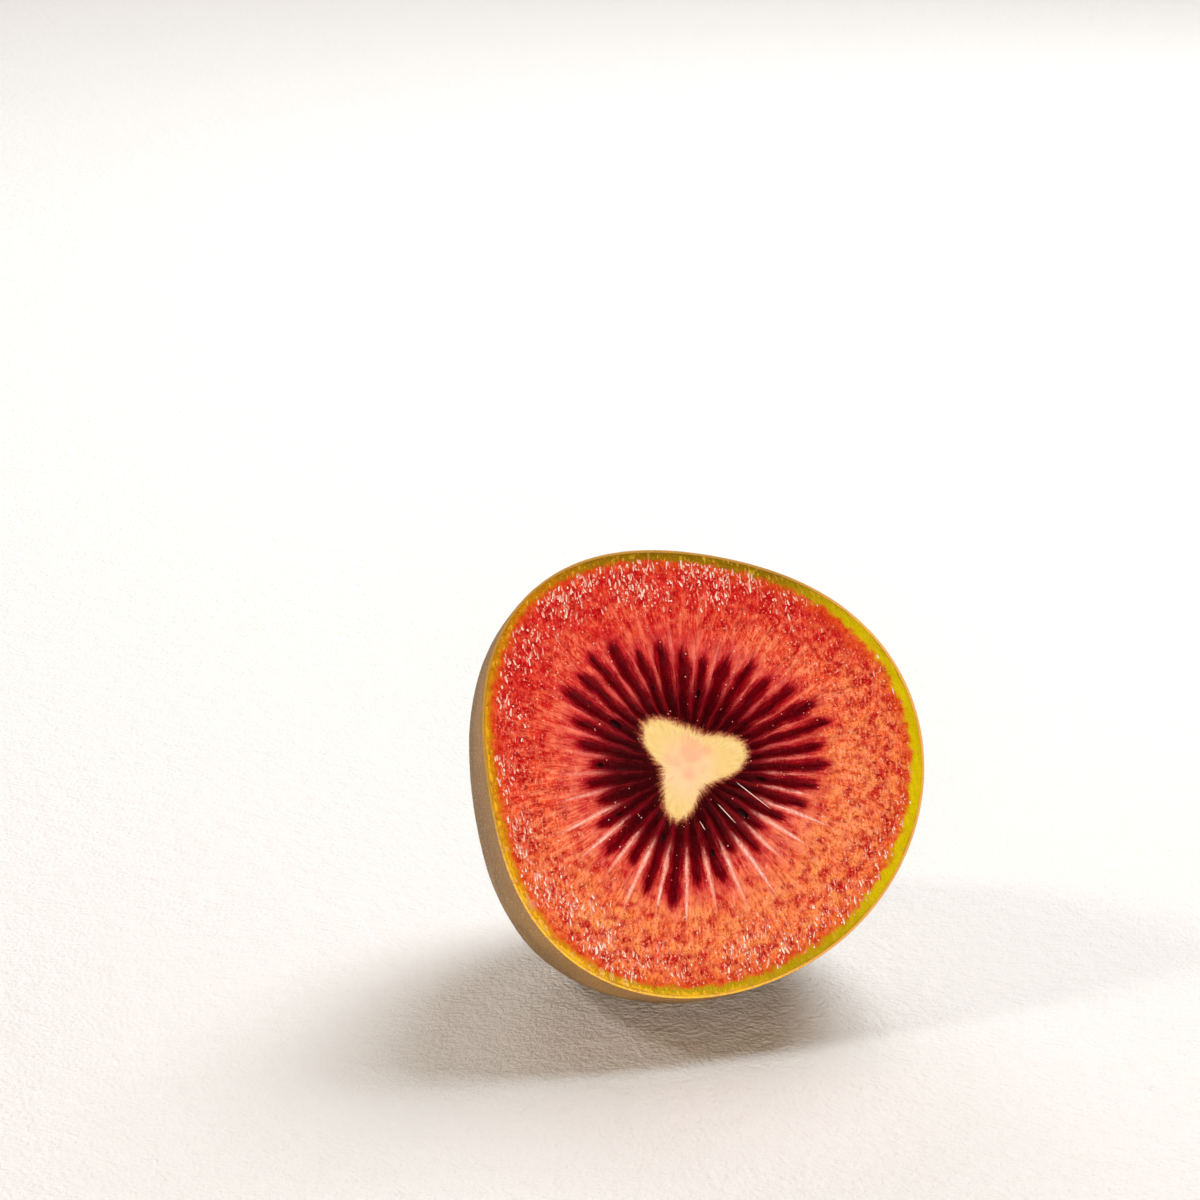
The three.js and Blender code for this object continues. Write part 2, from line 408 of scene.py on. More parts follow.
peachSpot = (0.6, 1.6, 0)  # the middle of the peach patch in the core


def faceFields(f):
    # what the colours are worked out from: distances that the mesh carries, patterns, and masks of both
    place = f.attribute("fruitPlace", "Vector")
    polar = f.attribute("polar", "Vector")
    carried = {"fruitPlace": place, "polar": polar}
    paths = {name: f.stretched(carried[source], factors) for name, (source, factors) in facePaths.items()}
    paths["place"] = place
    patterns = {name: f.noise(paths[path], *settings) for name, (path, *settings) in facePatterns.items()}
    distances = {name: f.attribute(name) for name in ("finger", "wall", "wallDraw", "coreGap", "rimGap")}
    face = SimpleNamespace(x=f.part(place, 0), y=f.part(place, 1), **paths, **patterns, **distances)
    face.radius = f.part(polar, 2)
    for name, (distance, start, full) in faceZones.items():
        setattr(face, name, getattr(face, distance).between(start, full))
    face.orange = (face.x * 0.014 - face.y * 0.03 + face.drift * 1.6 - 0.66).between(-0.25, 0.6)
    face.red = (face.y * 0.032 - face.x * 0.008 + face.drift * 1.2 - 0.72).between(-0.2, 0.45)
    face.dot = (f.cells(face.drawnOut, faceCells["speck"]) + (face.grain - 0.5) * 0.9).between(0.5, 0.1)
    face.coreEdge = face.coreGap + 0.2 + (face.bristle - 0.5) * 2.0 + (face.grain - 0.5) * 0.9
    return face


def cloudedFlesh(f, look, face):
    # coral, redder at the top left and more orange low on the right, in soft patches
    colour = f.blend(face.orange, look["coral"], look["salmon"])
    colour = f.blend(face.red * 0.8, colour, look["crimson"])
    colour = f.blend(face.cloud.between(0.46, 0.66) * (face.orange * 0.75 + 0.1), colour, look["honey"])
    colour = f.blend(face.cloud.between(0.5, 0.34) * 0.5, colour, look["rose"])
    return f.blend(face.roseRing * 0.65, colour, look["rose"])


def fibrousFlesh(f, look, face, colour):
    # fibres that run out from the core, pale and red by turns, broad ones and hair-fine ones
    colour = f.blend(face.strand.between(0.48, 0.64) * (face.inward * 0.45 + 0.15), colour, look["pale"])
    colour = f.blend(face.strand.between(0.5, 0.35) * (face.inward * 0.35 + 0.15), colour, look["clump"])
    return f.blend(face.hairline.between(0.52, 0.64) * face.inward * 0.45, colour, look["pale"])


def clumpedFlesh(f, look, face, colour):
    # red clumps gathered in patches, most of them towards the peel and past the tips of the rays
    dither = (face.grain - 0.5) * 0.5 + (face.fleck - 0.5) * 0.3
    crowd = face.blotch + (face.patch - 0.5) * 0.5 + dither
    crowd = crowd + face.rimward * 0.08 + face.red * 0.06 + face.pastTips * 0.05
    colour = f.blend(crowd.between(0.48, 0.7) * 0.95, colour, look["clump"])
    pale = f.blend(face.red, look["pale"], look["paleRed"])
    share = face.openFlesh * 0.4 + 0.25
    colour = f.blend(face.fleck.between(0.5, 0.66) * share, colour, pale)
    colour = f.blend(face.fleck.between(0.48, 0.34) * share, colour, look["clump"])
    colour = f.blend(face.grain.between(0.49, 0.34) * share, colour, look["clump"])
    colour = f.blend(face.grain.between(0.54, 0.7) * share, colour, pale)
    fibre = (face.strand + (face.hairline - 0.5) * 0.6).between(0.5, 0.66) * face.fibres
    return f.blend(fibre * 0.45, colour, pale)


def speckledFlesh(f, look, face, colour):
    # pale granules, then dark red specks drawn out along the rays, each in a part of a pattern's cells
    granule = f.cells(face.dragged, faceCells["kernel"]).between(0.36, 0.1) * face.fleck.between(0.5, 0.6)
    colour = f.blend(granule * 0.45, colour, look["kernel"])
    chance = f.part(f.cells(face.drawnOut, faceCells["speck"], output="Color"), 0)
    crowding = face.rimward * 0.3 + (face.patch - 0.5) * 1.8 + (face.blotch - 0.5) * 2.4
    likely = (chance + crowding).between(0.66, 1.05)
    colour = f.blend(face.dot * likely * 0.85, colour, look["speck"])
    blush = face.blush * (face.strand + face.grain * 0.5).between(0.55, 0.95)
    return f.blend(blush * 0.5, colour, look["blush"])


def wallMasks(face):
    # the pale walls between the rays, of uneven length and tapering outwards, and painted highlights on them:
    # white lines along their middles, and the walls painted whiter low down, where the light catches them
    tip = face.wallDraw * wallReach["scatter"] + wallReach["mean"]
    taper = face.radius.between(tip + wallReach["fade"], wallReach["widest"])
    reach = taper.between(0.02, 0.35) * face.wallStart
    # painted highlight: the walls and their white lines are lighter towards the bottom of the cut
    low = (0.0 - face.y).between(-3.0, 8.0)
    aside = face.wall + (face.strand - 0.5) * 0.5 + (face.grain - 0.5) * 0.25
    body = aside.between(taper * 0.42 + 0.12, taper * 0.12) * reach
    body = body * (face.hairline * 0.9 + 0.4) * (low * 0.7 + 0.3)
    # a painted highlight along each wall's middle
    wallHighlightMask = aside.between(taper * 0.16 + 0.04, 0.0) * reach * face.fleck.between(0.4, 0.55) * low
    return body, wallHighlightMask


def rayedFlesh(f, look, face, colour, body, wallHighlightMask):
    # the rays, ragged and red at the edges, darker towards the core, where they run together
    colour = f.blend(body * 0.9, colour, look["wall"])
    # the walls' white lines are painted highlights
    colour = f.blend(wallHighlightMask * 0.85, colour, look["wallHighlight"])
    edge = face.finger + (face.ragged - 0.5) * 2.2 + (face.grain - 0.5) * 0.9 + (face.strand - 0.5) * 0.9
    pulp = f.blend(edge.between(0.0, 0.8), look["pulpEdge"], look["pulp"])
    pulp = f.blend(face.strand.between(0.45, 0.65) * 0.4, pulp, look["pulpEdge"])
    pulp = f.blend(face.deepPulp * 0.85, pulp, look["pulpDeep"])
    colour = f.blend(edge.between(-2.2, -0.6) * (1 - body) * 0.35, colour, look["haze"])
    colour = f.blend(edge.between(-1.0, 0.1) * (1 - body * 0.6) * 0.85, colour, look["halo"])
    ridge = face.wall.between(0.26, 0.02) * (face.ragged + face.hairline - 0.25)
    between = f.blend(ridge * face.ridgeStart, look["pulp"], look["innerWall"])
    between = f.blend(body * 0.6, between, look["wall"])
    # the painted highlight again, on the walls near the core
    between = f.blend(wallHighlightMask * 0.8, between, look["wallHighlight"])
    colour = f.blend(face.raysMeet * edge.between(0.4, -0.2) * 0.95, colour, between)
    return f.blend(edge.between(-0.4, 0.4), colour, pulp)


def coredFlesh(f, look, face, colour):
    # the core: cream, yellower in its lobes and peach above the middle, with a soft edge of short fibres
    yellowing = (face.radius + face.soft * 2.0 - 1.0).between(1.6, 4.6)
    cream = f.blend(yellowing, look["coreCream"], look["coreYellow"])
    peach = (face.soft * 1.4 - f.distance(face.place, peachSpot) * 0.24).between(0.05, 0.5)
    cream = f.blend(peach * 0.85, cream, look["corePeach"])
    cream = f.blend(face.bristle.between(0.45, 0.7) * face.coreOuter * 0.6, cream, look["coreTip"])
    cream = f.blend(face.bristle.between(0.52, 0.34) * face.coreOuter * 0.5, cream, look["coreShade"])
    colour = f.blend(face.coreEdge.between(0.75, -0.15) * 0.75, colour, look["coreFringe"])
    return f.blend(face.coreEdge.between(0.3, -0.6), colour, cream)


def bandedFlesh(f, look, face, colour):
    # the band under the peel: yellow-green on the right, olive above and below, ochre on the left, with a
    # painted highlight low on the left: a bright yellow line by the rim, where the peel's inner edge catches
    # the light
    above = (face.y - face.x * 0.5 + face.drift * 6.0 - 3.0).between(1.0, 17.0)
    below = (0.0 - face.y - face.x * 0.3).between(6.0, 20.0)
    left = (0.0 - face.x * 0.05).between(0.2, 0.9)
    lowLeft = (0.0 - face.x - face.y * 0.8).between(6.0, 22.0)
    band = f.blend(above + below * 0.6, look["band"], look["bandOlive"])
    band = f.blend(left * 0.9, band, look["bandOchre"])
    band = f.blend(face.grain.between(0.55, 0.3) * (above * 0.35 + 0.2), band, look["bandShade"])
    band = f.blend(face.fleck.between(0.52, 0.7) * (above * 0.4 + 0.25), band, look["bandFleck"])
    # a painted highlight: bright yellow near the rim, low on the left
    paintedEdgeLight = (face.rimGap + (face.fleck - 0.5) * 1.8 + (face.blotch - 0.5) * 0.9).between(0.62, 0.42)
    band = f.blend(paintedEdgeLight * lowLeft * 0.8, band, look["bandLitYellow"])
    width = face.x * 0.008 + face.drift * 0.4 + 0.6
    gap = face.rimGap / width + (face.grain - 0.5) * 1.4 + (face.blotch - 0.5) * 1.6
    colour = f.blend(gap.between(3.6, 1.3) * 0.75, colour, look["bandEdge"])
    colour = f.blend(face.dot * gap.between(3.8, 1.8) * 0.6, colour, look["clump"])
    return f.blend(gap.between(1.9, 1.1), colour, band)


def fleshMaterial(look):
    # the colours from the outer flesh in to the core, then the band, and a wet surface with fine drag marks
    f = Finish("kiwiFlesh")
    face = faceFields(f)
    body, wallHighlightMask = wallMasks(face)
    colour = cloudedFlesh(f, look, face)
    colour = fibrousFlesh(f, look, face, colour)
    colour = clumpedFlesh(f, look, face, colour)
    colour = speckledFlesh(f, look, face, colour)
    colour = rayedFlesh(f, look, face, colour, body, wallHighlightMask)
    colour = coredFlesh(f, look, face, colour)
    colour = bandedFlesh(f, look, face, colour)
    offCore = face.coreEdge.between(-0.3, 0.3)
    height = (face.drag + face.grain * 0.4 + face.hairline * 0.5) * (offCore * 0.8 + 0.2)
    return f.close({
        "Base Color": colour,
        "Roughness": 0.22 + face.wetness * 0.2 + (1 - offCore) * 0.3,
        "IOR": 1.4,
        "Specular IOR Level": 0.06,
        "Subsurface Weight": 0.15,
        "Subsurface Radius": (1.0, 0.2, 0.1),
        "Subsurface Scale": 0.001,
        "Coat Weight": face.rimward * 0.35 + wallHighlightMask * 0.4,
        "Coat Roughness": 0.12,
        "Coat IOR": 1.36,
    }, height, 0.8, 0.0002)


def juiceMaterial():
    # wet beads on the cut: flesh colour to nearly white, from bead to bead; the near white is a painted
    # glint, so that many beads read as highlights whatever the light
    f = Finish("juice")
    colour = f.blend(f.attribute("pale"), tint(228, 84, 50), tint(255, 238, 226))
    return f.close({
        "Base Color": colour,
        "Roughness": 0.12,
        "IOR": 1.6,
        "Specular IOR Level": 0.8,
        "Coat Weight": 1.0,
        "Coat Roughness": 0.04,
    })


peelLook = {
    "tan": tint(166, 122, 66),
    "brown": tint(88, 56, 16),
    "olive": tint(88, 74, 14),
    "russet": tint(130, 72, 32),
    "fleck": tint(238, 196, 116),
    # pale orange, and bright yellow, for painted rim light on the cut edge
    "cutEdgeRimLight": tint(232, 172, 84),
    "cutEdgeLitYellow": tint(250, 202, 40),
    "cutOchre": tint(176, 132, 34),
    "fleckCells": 2.3,  # to each millimetre
    "darkCells": 3.1,
    "russetFrom": (20.0, 31.0),  # millimetres below the cut, from none to full
    "paleFrom": (9.0, 1.0),
    "cutFrom": (0.28, 0.08),
}


def peelMaterial(look):
    # olive and brown in patches, with pale flecks and dark dots, paler towards the cut and russet at the
    # stem;
    # its cut edge carries painted rim light, pale orange and bright yellow low on the left, and is ochre
    # above
    f = Finish("kiwiPeel")
    place = f.attribute("fruitPlace", "Vector")
    toCut = f.attribute("toCut")  # millimetres below the cut
    x, y = f.part(place, 0), f.part(place, 1)
    drift = f.noise(place, 0.07, 3, 0.6)
    patch = f.noise(place, 0.3, 4, 0.65)
    grain = f.noise(place, 4.5, 2, 0.6)
    mottle = f.noise(place, 2.0, 3, 0.6)
    fleck = f.cells(place, look["fleckCells"])
    dark = f.cells(place, look["darkCells"]).between(0.3, 0.12)
    colour = f.blend(patch.between(0.35, 0.68), look["brown"], look["olive"])
    colour = f.blend((drift + patch * 0.3).between(0.58, 0.78) * 0.7, colour, look["tan"])
    russet = toCut.between(*look["russetFrom"]) * patch.between(0.3, 0.7)
    colour = f.blend(russet * 0.8, colour, look["russet"])
    colour = f.blend(grain.between(0.35, 0.65) * 0.6, colour, look["tan"])
    colour = f.blend(toCut.between(*look["paleFrom"]) * 0.55, colour, look["tan"])
    colour = f.blend(fleck.between(0.34, 0.14) * grain.between(0.4, 0.6) * 0.85, colour, look["fleck"])
    colour = f.blend(dark * 0.5, colour, look["brown"])
    lowLeft = (0.0 - x - y * 0.8 + patch * 8.0).between(4.0, 22.0)
    above = (y - x * 0.6 + patch * 4.0).between(2.0, 16.0)
    # painted rim light along the cut edge: pale orange, bright yellow low on the left; ochre above is its own
    # colour
    cutEdgeAndRimLight = f.blend(lowLeft * mottle.between(0.4, 0.55), look["cutEdgeRimLight"], look["cutEdgeLitYellow"])
    cutEdgeAndRimLight = f.blend(above * 0.85, cutEdgeAndRimLight, look["cutOchre"])
    colour = f.blend((toCut + (grain - 0.5) * 0.3).between(*look["cutFrom"]), colour, cutEdgeAndRimLight)
    height = grain * 0.8 + fleck.between(0.32, 0.06) * 0.6 + patch * 0.8
    return f.close({
        "Base Color": colour,
        "Roughness": 0.52 + grain * 0.2,
        "Sheen Weight": 0.1,
        "Sheen Roughness": 0.45,
        "Sheen Tint": tint(230, 190, 130),
        "Subsurface Weight": 0.08,
        "Subsurface Radius": (1.0, 0.5, 0.2),
        "Subsurface Scale": 0.0008,
    }, height, 0.6, 0.0002)


def seedMaterial():
    # nearly black, with a faint grain
    f = Finish("kiwiSeed")
    grain = f.noise(f.attribute("fruitPlace", "Vector"), 6.0, 2)
    colour = f.blend(grain.between(0.35, 0.75), tint(14, 0, 3), tint(46, 0, 6))
    sockets = {"Base Color": colour, "Roughness": grain * 0.2 + 0.4, "Specular IOR Level": 0.06}
    return f.close(sockets, grain, 0.25, 0.00008)


def barkMaterial(name, dark, light, green, scale):
    # dry woody tissue: dark in its cracks, pale on its ridges
    f = Finish(name)
    place = f.attribute("fruitPlace", "Vector")
    crack = f.noise(place, 1.1 * scale, 5, 0.7)
    fine = f.noise(place, 5.0 * scale, 3, 0.6)
    colour = f.blend((crack * 0.8 + fine * 0.3).between(0.42, 0.66), dark, light)
    colour = f.blend(f.noise(place, 0.4, 2).between(0.52, 0.7) * 0.5, colour, green)
    height = crack * 1.4 + fine * 0.5
    return f.close({"Base Color": colour, "Roughness": 0.75 + fine * 0.15}, height, 0.8, 0.0003)


def hairMaterial(name, root, tip):
    # a hair's colour from its root to its tip
    f = Finish(name)
    colour = f.blend(f.attribute("along"), root, tip)
    return f.close({"Base Color": colour, "Roughness": 0.55, "Sheen Weight": 0.2})


# Flesh: one closed body whose front is the cut face

finger = {  # the dark rays; a pair is the least value and what a draw from 0 to 1 adds to it
    "width": 1.3,
    "widthShare": (0.8, 0.4),
    "bend": 0.06,
    "bendRate": (0.7, 0.5),  # radians to the millimetre
    "bendStart": 9,
    "swell": 0.12,
    "swellRate": 1.6,
    "swellStart": 8,
    "footShare": 0.9,
    "belly": (0.2, 7.0, 3.0),  # a share of the width, gained from so far before the tip to so near it
    "point": (0.3, 2.5, 0.0),  # likewise, lost
    "roundEnd": 1.8,  # half widths
}
relief = {
    "coreProud": 0.06,
    "coreSlope": (-0.6, 0.8),  # from the core's edge
    "raySunk": 0.28,
    "rayBank": (-0.3, 1.0),  # of the finger field
    "rayFrom": (-0.1, 1.6),  # from the core's edge
    "wallHigh": 0.12,
    "wallBank": (0.03, 0.32),  # from the wall's middle
    "wallFrom": (7, 10),  # from the core's middle
    "wallTo": (13, 16),
    "rimRolled": 0.16,
    "rimBank": (0.25, 1.3),  # in from the rim
    "grainyFrom": (0.2, 1.0),  # from the core's edge
    "coarseTo": (3.0, 9.0),  # in from the rim
    "knifeDrag": (1, 0.4, 1),
    "crumb": (0.03, 0.5, 11),  # height, size and seed of some bumps
    "rimCrumb": (0.05, 0.5, 11),
    "knob": (0.05, 1.3, 12),
    "fineCrumb": (0.03, 0.26, 13),
    "coreCrumb": (0.03, 0.5, 14),
    "broad": (0.1, 5.0, 15),
}
flesh = {
    "columnsPerRay": 18,
    "faceRows": 146,
    "backRows": 12,
    "faceCrowding": 0.92,  # below 1, rows lie closer together towards the rim
    "backCrowding": 0.8,  # likewise, towards the stem end
    "backFrom": 0.006,  # shares of the depth
    "backSpan": 0.99,
    "flatMiddle": 0.02,  # share of the radius
    "peel": 0.3,  # how far the flesh stays inside the fruit's outline
    "slack": 0.02,  # how far the cut face reaches into the peel, and the back stays clear of it
    "lowest": 0.45,  # above the table
}


def fingerField(angle, radius, share):
    # 1 along the middle of a ray and 0 at its edge: a bar with a round end that bends and swells a little
    count = fruit["rays"]
    ray = np.floor(share * count).astype(int) % count
    middle = angleAt((np.floor(share * count) + 0.5) / count)
    slowest, faster = finger["bendRate"]
    narrowest, wider = finger["widthShare"]
    gain, bellyFrom, bellyTo = finger["belly"]
    loss, pointFrom, pointTo = finger["point"]
    bending = radius * (slowest + faster * draw(ray, 10)) + finger["bendStart"] * draw(ray, 11)
    swelling = finger["swellRate"] * radius + finger["swellStart"] * draw(ray, 12)
    aside = np.abs(radius * (angle - middle) + finger["bend"] * np.sin(bending))
    tip = rayTip(ray)
    half = finger["width"] / 2 * (narrowest + wider * draw(ray, 7)) * (1 + finger["swell"] * np.sin(swelling))
    belly = gain * smooth(radius, tip - bellyFrom, tip - bellyTo)
    half = half * (finger["footShare"] + belly - loss * smooth(radius, tip - pointFrom, tip - pointTo))
    end = finger["roundEnd"] * half
    beyond = np.maximum(radius - (tip - end), 0) / end
    return 1 - np.sqrt((aside / half) ** 2 + beyond ** 2)


def wallDistance(angle, radius, share):
    # millimetres to the nearer wall between two rays
    count = fruit["rays"]
    low = angleAt(np.floor(share * count) / count)
    high = angleAt((np.floor(share * count) + 1) / count)
    return radius * np.minimum(np.abs(angle - low), np.abs(high - angle))


def faceRelief(x, y, radius, fingers, wall, coreGap, rimGap):
    # core proud, rays sunk, walls a little high, fine drag marks of the knife, and the edge rolled over
    flat = np.stack([x, y, 0 * x], -1)
    drag = flat * relief["knifeDrag"]
    banks = 1 - smooth(wall, *relief["wallBank"])
    stretch = smooth(radius, *relief["wallFrom"]) * (1 - smooth(radius, *relief["wallTo"]))
    grainy = smooth(coreGap, *relief["grainyFrom"])
    coarse = 1 - smooth(rimGap, *relief["coarseTo"])
    height = relief["coreProud"] * smooth(-coreGap, *relief["coreSlope"])
    height -= relief["raySunk"] * smooth(fingers, *relief["rayBank"]) * smooth(coreGap, *relief["rayFrom"])
    height += relief["wallHigh"] * banks * stretch
    height += grainy * (bumps(drag, relief["crumb"]) + coarse * bumps(drag, relief["rimCrumb"]))
    height += grainy * (bumps(flat, relief["knob"]) + bumps(drag, relief["fineCrumb"]))
    height += (1 - grainy) * bumps(flat, relief["coreCrumb"])
    height += bumps(flat, relief["broad"])
    return height - relief["rimRolled"] * (1 - smooth(rimGap, *relief["rimBank"]))


def makeFlesh():
    # rings of the cut face from the core out, then rings of the back, inside the peel, to the stem end
    columns = fruit["rays"] * flesh["columnsPerRay"]
    share = (np.arange(columns) / columns)[None, :]
    angle = angleAt(share)
    v = np.linspace(0, 1, flesh["faceRows"] + 1)[1:, None] ** flesh["faceCrowding"]
    radius = v * (rimRadius(angle) - flesh["peel"] + flesh["slack"])
    shareGrid = share + 0 * radius
    fingers = fingerField(angle, radius, shareGrid)
    wall = wallDistance(angle, radius, shareGrid)
    coreGap = radius - coreRadius(angle)
    rimGap = rimRadius(angle) - radius
    x, y = radius * np.cos(angle), radius * np.sin(angle)
    z = faceRelief(x, y, radius, fingers, wall, coreGap, rimGap) * smooth(v, 0, flesh["flatMiddle"])
    face = np.stack([x, y, z], -1)
    steps = np.linspace(0, 1, flesh["backRows"] + 1)[1:-1, None]
    t = steps ** flesh["backCrowding"] * flesh["backSpan"] + flesh["backFrom"]
    back = sidePoints(t, angle, flesh["peel"] + flesh["slack"])
    rings = np.concatenate([face, back])
    centre = np.array([[0, 0, z[0].mean()]])
    end = np.array([[axisX, axisY, -fruit["depth"] + flesh["peel"] + flesh["slack"]]])
    points = np.concatenate([centre, rings.reshape(-1, 3), end])
    faces = outward(points, ringFaces(len(rings), columns))

    def spread(values, middle, behind):
        # a value for each point: the face's, then one number for the back
        rest = np.full(len(back) * columns + 1, float(behind))
        return np.concatenate([[middle], (values + 0 * radius).ravel(), rest])

    nearestWall = np.floor(share * fruit["rays"] + 0.5) % fruit["rays"]
    direction = spread(np.cos(angle), 1, 0), spread(np.sin(angle), 0, 0)
    extras = {
        "fruitPlace": points,
        "polar": np.stack([*direction, spread(radius, 0, 20)], -1),
        "finger": np.clip(spread(fingers, -1, -2), -3, 1),
        "wall": spread(wall, 0, 2),
        "wallDraw": spread(draw(nearestWall, 20), 0, 0),
        "coreGap": spread(coreGap, -5, 20),
        "rimGap": spread(rimGap, 25, 0.3),
    }
    placed = setDown(points, flesh["lowest"])
    piece = meshPiece("flesh", placed, faces, fleshMaterial(fleshLook), extras)
    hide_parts("kiwi_half")


# Juice: long wet beads along the rim of the cut, and tiny round ones over the rays, many of them coloured
# nearly white as painted glints

beads = {
    "rimCount": 1500,
    "dotCount": 1250,
    "rimFrom": 13.5,
    "dotsFrom": 4.0,
    "reach": 27.5,
    "length": (0.2, 0.95),
    "shortness": 1.9,  # above 1, most beads are short
    "width": (0.1, 0.26),
    "dot": (0.08, 0.17),
    "swing": 0.22,  # radians that a bead leans off upright
    "rise": 0.35,  # share of its half width that a bead's middle stands above the cut
    # the beads that aren't red are nearly white: painted glints
    "redness": 1.5,  # above 1, most beads are red
    "thickAt": 2.6,  # radians round from the right, where the long ones are thickest
    "leastShare": 0.08,
    "lowShare": 0.4,
    "deep": (4.0, 4.0, 5.0),  # millimetres in from the rim, and what the top and the bottom add
    "clearRim": (1.0, 1.8),
    "thinFrom": 1.5,
    "patch": (1.0, 2.2, 51),  # height, size and seed of some bumps
    "rayShare": 0.15,  # of the dots over the rays
    "fromCore": (0.1, 0.3),
    "thinOut": (0.4, 1.6),
    "raysTo": (12, 15),
    "fleshShare": 0.32,  # of the dots over the outer flesh
    "fleshFrom": (14.0, 18.0),
    "dotsClearRim": (1.3, 2.2),
    "threads": [(5.3, -1.9, 8.9, -5.3), (3.0, -4.1, 4.8, -6.5), (0.7, -5.8, 1.2, -6.9)],  # from and to
    "threadWidth": 0.1,
    # how nearly white the threads are: a painted glint along each
    "threadGlint": 0.8,
    "rows": 5,
    "columns": 7,
    "tries": 12,  # spots to choose from, to each bead
    "tableSteps": 4000,
    "seed": 7,
}
unlikely = 1e-9  # a weight that isn't nothing, so that enough spots can be drawn


def reliefAt(x, y):
    # the height of the cut face at any spots on it: angleAt is turned round by a fine table of its own values
    angle = np.arctan2(y, x)
    radius = np.hypot(x, y)
    shares = np.linspace(0, 1, beads["tableSteps"] + 1)
    turns = angleAt(shares)
    share = np.interp((angle - turns[0]) % turn + turns[0], turns, shares) % 1.0
    turned = angleAt(share)
    fingers = fingerField(turned, radius, share)
    wall = wallDistance(turned, radius, share)
    return faceRelief(x, y, radius, fingers, wall, radius - coreRadius(angle), rimRadius(angle) - radius)


def ballOf(rows, columns):
    # a ball of radius 1 with its poles on x
    down = np.linspace(0, math.pi, rows + 2)[1:-1, None]
    around = wayRound(columns)
    ball = np.stack([
        np.cos(down) + 0 * around,
        np.sin(down) * np.cos(around),
        np.sin(down) * np.sin(around),
    ], -1).reshape(-1, 3)
    return np.concatenate([[[1, 0, 0]], ball, [[-1, 0, 0]]])


def beadSpots(rng, count, low, weigh):
    # spots drawn evenly over a ring of the face, then kept by their weights
    angle = turn * rng.random(count * beads["tries"])
    radius = np.sqrt(low ** 2 + (beads["reach"] ** 2 - low ** 2) * rng.random(count * beads["tries"]))
    weight = weigh(angle, radius)
    chosen = rng.choice(len(angle), count, replace=False, p=weight / weight.sum())
    return radius[chosen] * np.cos(angle[chosen]), radius[chosen] * np.sin(angle[chosen])


def rimWeight(angle, radius):
    # thickest at the upper left and thin on the right, deeper at the top and the bottom, gathered in patches
    gap = rimRadius(angle) - radius
    high, low = np.maximum(np.sin(angle), 0), np.maximum(-np.sin(angle), 0)
    turned = smooth(np.cos(angle - beads["thickAt"]), -0.4, 0.4)
    side = beads["leastShare"] + (1 - beads["leastShare"]) * turned + beads["lowShare"] * low
    deep = beads["deep"][0] + beads["deep"][1] * high + beads["deep"][2] * low
    patches = smooth(bumps(onCircle(radius, angle), beads["patch"]), -0.7, 0.6)
    thinning = 1 - smooth(gap, beads["thinFrom"], deep)
    return thinning * smooth(gap, *beads["clearRim"]) * side * patches + unlikely


def dotWeight(angle, radius):
    # some over the rays, thickest just outside the core, and more over the outer flesh
    gap = radius - coreRadius(angle)
    onFlesh = smooth(radius, *beads["fleshFrom"]) * smooth(rimRadius(angle) - radius, *beads["dotsClearRim"])
    onRays = smooth(gap, *beads["fromCore"]) * (1.3 - smooth(gap, *beads["thinOut"]))
    onRays = onRays * (1 - smooth(radius, *beads["raysTo"]))
    return beads["rayShare"] * onRays + beads["fleshShare"] * onFlesh + unlikely


def makeBeads():
    # balls stretched along their length and turned by their swing, set on the relief of the cut
    rng = np.random.default_rng(beads["seed"])
    many, few = beads["rimCount"], beads["dotCount"]
    threads = np.array(beads["threads"])
    threadX, threadY = threads[:, 2] - threads[:, 0], threads[:, 3] - threads[:, 1]
    rimX, rimY = beadSpots(rng, many, beads["rimFrom"], rimWeight)
    dotX, dotY = beadSpots(rng, few, beads["dotsFrom"], dotWeight)
    x = np.concatenate([rimX, dotX, threads[:, 0::2].mean(1)])
    y = np.concatenate([rimY, dotY, threads[:, 1::2].mean(1)])
    shortest, longest = beads["length"]
    long = np.concatenate([
        shortest + (longest - shortest) * rng.random(many) ** beads["shortness"],
        rng.uniform(*beads["dot"], few),
        np.hypot(threadX, threadY),
    ]) / 2
    wide = np.concatenate([
        rng.uniform(*beads["width"], many) / 2,
        long[many:many + few],
        np.full(len(threads), beads["threadWidth"] / 2),
    ])
    swing = math.pi / 2 + beads["swing"] * rng.normal(size=len(x))
    swing[many + few:] = np.arctan2(threadY, threadX)
    ball = ballOf(beads["rows"], beads["columns"])
    along = ball[None, :, 0] * long[:, None]
    aside = ball[None, :, 1] * wide[:, None]
    points = np.stack([
        x[:, None] + along * np.cos(swing)[:, None] - aside * np.sin(swing)[:, None],
        y[:, None] + along * np.sin(swing)[:, None] + aside * np.cos(swing)[:, None],
        (reliefAt(x, y) + beads["rise"] * wide)[:, None] + ball[None, :, 2] * wide[:, None],
    ], -1).reshape(-1, 3)
    first = (np.arange(len(x)) * len(ball))[:, None, None]
    oneBall = ringFaces(beads["rows"], beads["columns"])
    faces = [(part[None] + first).reshape(-1, part.shape[1]) for part in oneBall]
    # each bead's whiteness, a painted glint
    glintWhiteness = rng.random(len(x)) ** beads["redness"]
    glintWhiteness[many + few:] = beads["threadGlint"]
    pale = np.repeat(glintWhiteness, len(ball))
    meshPiece("juice", setDown(points), outward(points, faces), juiceMaterial(), {"pale": pale})


# Peel: a thin closed cup round the flesh

